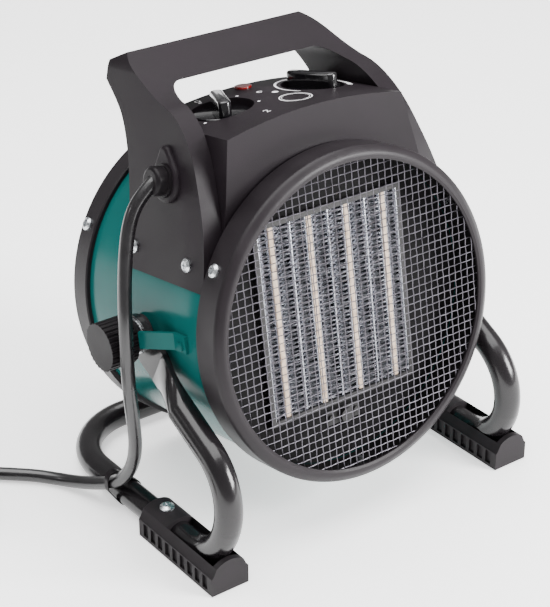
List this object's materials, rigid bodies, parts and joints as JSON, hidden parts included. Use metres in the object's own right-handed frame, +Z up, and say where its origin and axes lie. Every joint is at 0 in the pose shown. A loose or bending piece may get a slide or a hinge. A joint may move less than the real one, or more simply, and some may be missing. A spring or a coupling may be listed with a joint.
{
  "type": "ceramic fan heater",
  "caption": "Round drum ceramic fan heater that tilts in a bent tube stand, with a carrying handle, top controls and a coiled mains lead",
  "frame": {"origin": "on the floor, midway across the stand and midway between its front and its rear crossbar", "axes": "+Z up, the outlet grille faces -Y and looks slightly up, +X is to the right of someone who faces the grille"},
  "size_m": [0.4142, 0.2285, 0.2563],
  "materials": {
    "drum_enamel": "gloss",
    "ring_coating": "satin",
    "wire_coating": "satin",
    "charcoal_plastic": "fine grain",
    "gland_plastic": "satin",
    "knob_plastic": "gloss",
    "lamp_lens": "gloss",
    "zinc_steel": "bright zinc",
    "tube_coating": "satin",
    "foot_rubber": "matt",
    "lead_rubber": "matt",
    "pin_brass": "nickel plated",
    "ptc_ceramic": "matt, unglazed",
    "fin_aluminium": "mill",
    "inner_plastic": "satin",
    "motor_steel": "rolled",
    "coil_copper": "enamelled wire"
  },
  "bodies": {
    "stand": {"stand_tube": "tube_coating", "foot_left": "foot_rubber", "foot_right": "foot_rubber", "foot_screws": "zinc_steel", "cable_tie": "gland_plastic", "power_lead": "lead_rubber", "lead_coil": "lead_rubber", "lead_tail": "lead_rubber", "plug_body": "lead_rubber", "plug_pins": "pin_brass"},
    "fan_rotor": {"fan_impeller": "fin_aluminium", "motor_shaft": "motor_steel", "motor_rotor": "motor_steel"},
    "switch_knob": {"switch_knob": "knob_plastic"},
    "thermostat_knob": {"thermostat_knob": "knob_plastic"},
    "clamp_left": {"clamp_knob_left": "charcoal_plastic"},
    "clamp_right": {"clamp_knob_right": "charcoal_plastic"},
    "heater": {"baffle_plate": "tube_coating", "bearing_brackets": "zinc_steel", "ceramic_bars": "ptc_ceramic", "control_housing": "charcoal_plastic", "cord_gland": "gland_plastic", "drum_shell": "drum_enamel", "element_frame": "inner_plastic", "fin_dividers": "fin_aluminium", "front_grille": "wire_coating", "front_ring": "ring_coating", "front_ring_screws": "zinc_steel", "gland_nut": "gland_plastic", "handle": "charcoal_plastic", "handle_screws": "zinc_steel", "heat_fins": "fin_aluminium", "motor_coil": "coil_copper", "motor_mount": "zinc_steel", "motor_stack": "motor_steel", "pivot_pads": "foot_rubber", "pivot_studs": "zinc_steel", "pivot_washers": "zinc_steel", "power_lamp": "lamp_lens", "rear_grille": "wire_coating", "rear_ring": "ring_coating", "rear_ring_screws": "zinc_steel", "rotary_switch": "inner_plastic", "shaft_bushes": "pin_brass", "stop_tabs": "drum_enamel", "tab_rivets": "drum_enamel", "terminal_block": "inner_plastic", "thermal_cutout": "inner_plastic", "thermostat": "inner_plastic"}
  },
  "joints": [
    {"name": "heater_tilt", "type": "hinge", "parent": "stand", "child": "heater", "pos_m": [0, 0.0045, 0.1147], "axis": [-1, 0, 0], "range_deg": [-5, 5.5], "deforming": ["power_lead"]},
    {"name": "fan_spin", "type": "hinge", "parent": "heater", "child": "fan_rotor", "pos_m": [0, -0.01079, 0.11723], "axis": [0, -0.9866, 0.1633], "continuous": true},
    {"name": "switch_turn", "type": "hinge", "parent": "heater", "child": "switch_knob", "pos_m": [-0.032, 0.01342, 0.22675], "axis": [0, 0.1633, 0.9866], "range_deg": [-180, 0]},
    {"name": "thermostat_turn", "type": "hinge", "parent": "heater", "child": "thermostat_knob", "pos_m": [0.032, 0.01342, 0.22675], "axis": [0, 0.1633, 0.9866], "range_deg": [-135, 135]},
    {"name": "clamp_left_turn", "type": "hinge", "parent": "heater", "child": "clamp_left", "pos_m": [-0.105, 0.0045, 0.1147], "axis": [-1, 0, 0], "range_deg": [0, 360]},
    {"name": "clamp_right_turn", "type": "hinge", "parent": "heater", "child": "clamp_right", "pos_m": [0.105, 0.0045, 0.1147], "axis": [1, 0, 0], "range_deg": [0, 360]}
  ]
}
